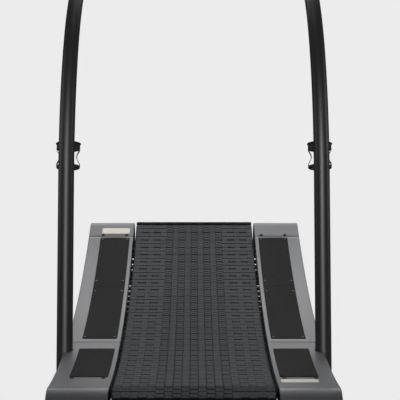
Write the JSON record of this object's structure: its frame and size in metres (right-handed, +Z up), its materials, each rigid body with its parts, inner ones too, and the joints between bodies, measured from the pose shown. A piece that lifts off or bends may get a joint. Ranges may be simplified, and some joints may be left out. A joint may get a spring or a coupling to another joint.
{
  "type": "curved manual treadmill",
  "caption": "Curved slat-belt manual treadmill with sweeping tube handrails, bottle cages and a tilting display.",
  "frame": {"origin": "on the floor under the middle of the bounding box", "axes": "+Z up, +Y towards the front (console end, the way the runner faces), +X to the runner's right"},
  "size_m": [0.8536, 1.8155, 1.6101],
  "materials": {
    "cover_paint": "satin",
    "frame_paint": "satin powder coat",
    "tube_paint": "satin",
    "tread_rubber": "matt moulded",
    "belt_rubber": "matt",
    "slat_aluminium": "mill",
    "grip_pad": "coarse grit",
    "steel": "bright",
    "black_fastener": "black oxide",
    "plate": "brushed",
    "grip_foam": "soft",
    "black_plastic": "textured",
    "lens": "gloss",
    "button_plastic": "satin",
    "pcb": "satin",
    "wheel_plastic": "satin",
    "pulley_plastic": "matt"
  },
  "bodies": {
    "frame": {"side_frame_left": "frame_paint", "side_frame_right": "frame_paint", "cross_members": "frame_paint", "roller_studs": "steel", "drum_bearings": "steel", "one_way_bearing": "steel", "tension_screws": "black_fastener", "rear_cover_left": "cover_paint", "rear_cover_right": "cover_paint", "main_cover_left": "cover_paint", "main_cover_right": "cover_paint", "front_cover_left": "cover_paint", "front_cover_right": "cover_paint", "cover_bolts": "black_fastener", "side_skirt_left": "frame_paint", "side_skirt_right": "frame_paint", "grip_pads": "grip_pad", "pad_screws": "steel", "blank_plates": "plate", "handrail_left": "tube_paint", "handrail_right": "tube_paint", "hand_grips": "grip_foam", "handrail_brackets": "frame_paint", "handrail_bolts": "black_fastener", "bottle_cage_left": "black_plastic", "bottle_cage_right": "black_plastic", "console_mast": "frame_paint", "tilt_pin": "black_fastener", "wheel_axles": "steel", "lift_handle": "frame_paint", "deck_rollers": "steel"},
    "belt_deck_run": {"deck_slats": "slat_aluminium", "deck_treads": "tread_rubber", "deck_belts": "belt_rubber"},
    "belt_front_wrap": {"front_wrap_slats": "slat_aluminium", "front_wrap_treads": "tread_rubber", "front_wrap_belts": "belt_rubber"},
    "belt_return_run": {"return_slats": "slat_aluminium", "return_treads": "tread_rubber", "return_belts": "belt_rubber"},
    "belt_rear_wrap": {"rear_wrap_slats": "slat_aluminium", "rear_wrap_treads": "tread_rubber", "rear_wrap_belts": "belt_rubber"},
    "front_drum": {"front_axle": "steel", "front_pulleys": "pulley_plastic"},
    "rear_drum": {"rear_axle": "steel", "rear_pulleys": "pulley_plastic"},
    "wheel_left": {"transport_wheel_left": "wheel_plastic"},
    "wheel_right": {"transport_wheel_right": "wheel_plastic"},
    "foot_rear_left": {"foot_rear_left": "steel"},
    "foot_rear_right": {"foot_rear_right": "steel"},
    "foot_front_left": {"foot_front_left": "steel"},
    "foot_front_right": {"foot_front_right": "steel"},
    "console_head": {"console_back_shell": "black_plastic", "console_bezel": "black_plastic", "display_lens": "lens", "console_board": "pcb"},
    "button_1": {"button_1": "button_plastic"},
    "button_2": {"button_2": "button_plastic"},
    "button_3": {"button_3": "button_plastic"}
  },
  "joints": [
    {"name": "belt_travel", "type": "hinge", "parent": "frame", "child": "belt_deck_run", "pos_m": [0, -0.1583, 3.83], "axis": [-1, 0, 0], "range_deg": [-0.47944, 0.47944]},
    {"name": "belt_front_wrap_turn", "type": "hinge", "parent": "frame", "child": "belt_front_wrap", "pos_m": [0, 0.82109, 0.29413], "axis": [1, 0, 0], "range_deg": [-25.4, 25.4]},
    {"name": "belt_return_travel", "type": "hinge", "parent": "frame", "child": "belt_return_run", "pos_m": [0, -0.21857, 5.19017], "axis": [1, 0, 0], "range_deg": [-0.34131, 0.34131]},
    {"name": "belt_rear_wrap_turn", "type": "hinge", "parent": "frame", "child": "belt_rear_wrap", "pos_m": [0, -0.82111, 0.22137], "axis": [1, 0, 0], "range_deg": [-25.4, 25.4]},
    {"name": "front_drum_spin", "type": "hinge", "parent": "frame", "child": "front_drum", "pos_m": [0, 0.82109, 0.29413], "axis": [1, 0, 0], "continuous": true},
    {"name": "rear_drum_spin", "type": "hinge", "parent": "frame", "child": "rear_drum", "pos_m": [0, -0.82111, 0.22137], "axis": [1, 0, 0], "continuous": true},
    {"name": "wheel_left_spin", "type": "hinge", "parent": "frame", "child": "wheel_left", "pos_m": [-0.358, 0.702, 0.044], "axis": [1, 0, 0], "continuous": true},
    {"name": "wheel_right_spin", "type": "hinge", "parent": "frame", "child": "wheel_right", "pos_m": [0.358, 0.702, 0.044], "axis": [1, 0, 0], "continuous": true},
    {"name": "foot_rear_left_adjust", "type": "slide", "parent": "frame", "child": "foot_rear_left", "axis": [0, 0, -1], "range_m": [0, 0.02]},
    {"name": "foot_rear_right_adjust", "type": "slide", "parent": "frame", "child": "foot_rear_right", "axis": [0, 0, -1], "range_m": [0, 0.02]},
    {"name": "foot_front_left_adjust", "type": "slide", "parent": "frame", "child": "foot_front_left", "axis": [0, 0, -1], "range_m": [0, 0.02]},
    {"name": "foot_front_right_adjust", "type": "slide", "parent": "frame", "child": "foot_front_right", "axis": [0, 0, -1], "range_m": [0, 0.02]},
    {"name": "console_tilt", "type": "hinge", "parent": "frame", "child": "console_head", "pos_m": [0, 0.77658, 1.47198], "axis": [1, 0, 0], "range_deg": [-12, 20]},
    {"name": "button_1_press", "type": "slide", "parent": "console_head", "child": "button_1", "axis": [0, 0.8829, -0.4695], "range_m": [0, 0.0015], "stiffness_N_per_m": 200},
    {"name": "button_2_press", "type": "slide", "parent": "console_head", "child": "button_2", "axis": [0, 0.8829, -0.4695], "range_m": [0, 0.0015], "stiffness_N_per_m": 200},
    {"name": "button_3_press", "type": "slide", "parent": "console_head", "child": "button_3", "axis": [0, 0.8829, -0.4695], "range_m": [0, 0.0015], "stiffness_N_per_m": 200}
  ],
  "couplings": [
    {"joint": "belt_front_wrap_turn", "follows": "belt_travel", "ratio": 52.956},
    {"joint": "belt_rear_wrap_turn", "follows": "belt_travel", "ratio": 52.956},
    {"joint": "belt_return_travel", "follows": "belt_travel", "ratio": 0.70981},
    {"joint": "front_drum_spin", "follows": "belt_travel", "ratio": 52.956},
    {"joint": "rear_drum_spin", "follows": "belt_travel", "ratio": 52.956}
  ]
}
